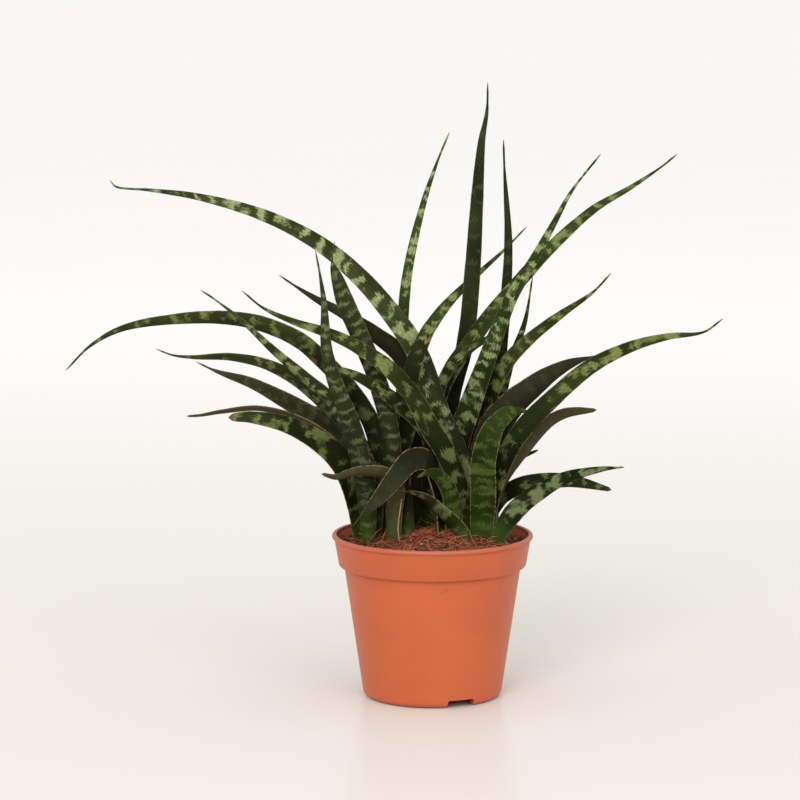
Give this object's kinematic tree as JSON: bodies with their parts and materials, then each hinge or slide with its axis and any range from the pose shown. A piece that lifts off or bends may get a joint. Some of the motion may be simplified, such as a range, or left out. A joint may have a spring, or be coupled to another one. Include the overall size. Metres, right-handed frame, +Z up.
{
  "type": "potted snake plant",
  "caption": "Clump of long, narrow, arching banded leaves with needle tips, rooted in fibrous soil in a tapered plastic nursery pot with a rolled lip.",
  "frame": {"origin": "on the pot's axis, in the plane the pot stands on, at the middle of the pot's foot boss", "axes": "+Z up along the pot's axis, -Y towards the front of the plant, +X to the right when looking from the front"},
  "size_m": [0.3897, 0.1854, 0.3631],
  "materials": {
    "pot_plastic": "smooth satin terracotta-orange plastic",
    "potting_soil": "rough reddish-brown fibrous coir and peat",
    "leaf_green": "waxy dark green with light jagged cross bands",
    "leaf_olive": "dull olive-brown, drier leaf"
  },
  "bodies": {
    "root": {"leaf_back_left": "leaf_green", "leaf_back_middle_left": "leaf_green", "leaf_back_middle_right": "leaf_green", "leaf_back_right": "leaf_green", "leaf_behind_spotted": "leaf_green", "leaf_blunt_left": "leaf_green", "leaf_broad_low_left": "leaf_green", "leaf_broad_top_left": "leaf_green", "leaf_brown_left": "leaf_olive", "leaf_brown_right": "leaf_olive", "leaf_crossing_right": "leaf_green", "leaf_curled_top": "leaf_green", "leaf_dark_right": "leaf_green", "leaf_drooping_front": "leaf_olive", "leaf_dry_tipped_left": "leaf_olive", "leaf_dull_left": "leaf_green", "leaf_front_bow": "leaf_green", "leaf_long_left_arch": "leaf_green", "leaf_long_under_left": "leaf_green", "leaf_low_right_arch": "leaf_green", "leaf_low_right_back": "leaf_green", "leaf_low_right_front": "leaf_green", "leaf_plain_dark_left": "leaf_green", "leaf_right_needle": "leaf_green", "leaf_right_sweep": "leaf_green", "leaf_scarred_left": "leaf_green", "leaf_short_dark_right": "leaf_green", "leaf_slim_upright_left": "leaf_green", "leaf_slim_upright_right": "leaf_green", "leaf_small_olive": "leaf_olive", "leaf_speckled_needle": "leaf_green", "leaf_spotted_left": "leaf_green", "leaf_spotted_right": "leaf_green", "leaf_striped_front": "leaf_green", "leaf_tallest_dark": "leaf_green", "leaf_young_inner_left": "leaf_green", "leaf_zigzag_left": "leaf_green", "leaf_zigzag_middle": "leaf_green", "pot": "pot_plastic", "potting_soil": "potting_soil"}
  },
  "joints": []
}
